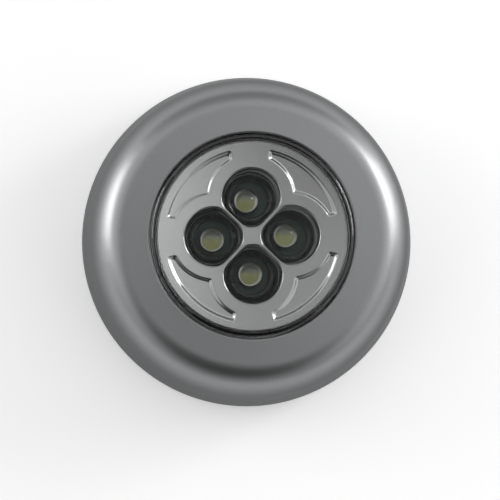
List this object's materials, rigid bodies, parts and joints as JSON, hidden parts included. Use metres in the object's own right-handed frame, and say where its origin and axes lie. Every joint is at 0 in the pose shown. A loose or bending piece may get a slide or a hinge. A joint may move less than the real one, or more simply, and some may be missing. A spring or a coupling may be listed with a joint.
{
  "type": "puck light",
  "caption": "Round stick-on battery light: silver domed housing with a clear push lens over a chromed reflector and diodes, and a twist-off adhesive back.",
  "frame": {"origin": "centre of the adhesive face on the back, which lies on the wall", "axes": "+Z out of the light through the lens, +Y towards the top and +X towards the right of the front view"},
  "size_m": [0.072, 0.072, 0.03],
  "materials": {
    "silver_shell": "fine metallic silver paint on moulded ABS",
    "clear_lens": "polished clear polystyrene",
    "chrome_plated": "vacuum-plated mirror chrome on moulded ABS",
    "led_epoxy": "water-clear cast epoxy",
    "led_phosphor": "yellow-green phosphor in clear silicone",
    "led_lead": "silver-plated lead frame",
    "board_green": "green solder mask on glass-fibre laminate",
    "resistor_black": "ceramic chip with a black coat",
    "switch_black": "moulded nylon switch body",
    "plunger_white": "moulded acetal stem",
    "tray_black": "fine-textured black ABS",
    "plate_black": "spark-textured black ABS",
    "pad_foam": "white closed-cell foam tape with a paper liner",
    "nickel_contact": "nickel-plated spring steel",
    "spring_steel": "bright drawn spring wire",
    "screw_steel": "zinc-plated steel",
    "wire_red": "red PVC insulation",
    "wire_black": "black PVC insulation",
    "cell_jacket": "plain dark film jacket over a metal can"
  },
  "bodies": {
    "housing": {"front_bezel": "silver_shell", "battery_tray": "tray_black", "tray_screws": "screw_steel", "contact_plus": "nickel_contact", "contact_minus": "nickel_contact", "contact_bridge_lower": "nickel_contact", "contact_bridge_upper": "nickel_contact", "contact_springs": "spring_steel", "cell_1": "cell_jacket", "cell_2": "cell_jacket", "cell_3": "cell_jacket", "return_spring_1": "spring_steel", "return_spring_2": "spring_steel", "return_spring_3": "spring_steel", "return_spring_4": "spring_steel", "wire_red": "wire_red", "wire_black": "wire_black"},
    "push_module": {"push_lens": "clear_lens", "reflector": "chrome_plated", "light_board": "board_green", "board_resistors": "resistor_black", "board_screws": "screw_steel", "switch_body": "switch_black", "led_body_right": "led_epoxy", "led_frame_right": "led_lead", "led_phosphor_right": "led_phosphor", "led_body_top": "led_epoxy", "led_frame_top": "led_lead", "led_phosphor_top": "led_phosphor", "led_body_left": "led_epoxy", "led_frame_left": "led_lead", "led_phosphor_left": "led_phosphor", "led_body_bottom": "led_epoxy", "led_frame_bottom": "led_lead", "led_phosphor_bottom": "led_phosphor"},
    "plunger": {"switch_plunger": "plunger_white"},
    "back_plate": {"back_plate": "plate_black", "adhesive_pad": "pad_foam"}
  },
  "joints": [
    {"name": "lens_press", "type": "slide", "parent": "housing", "child": "push_module", "axis": [0, 0, -1], "range_m": [0, 0.0012], "stiffness_N_per_m": 2500, "springref_m": -0.0008, "deforming": ["return_spring_1", "return_spring_2", "return_spring_3", "return_spring_4", "wire_red", "wire_black"]},
    {"name": "plunger_slide", "type": "slide", "parent": "push_module", "child": "plunger", "axis": [0, 0, 1], "range_m": [0, 0.0012]},
    {"name": "back_plate_twist", "type": "hinge", "parent": "housing", "child": "back_plate", "pos_m": [0, 0, 0.0017], "axis": [0, 0, -1], "range_deg": [0, 30]}
  ],
  "couplings": [
    {"joint": "plunger_slide", "follows": "lens_press", "ratio": 1}
  ]
}
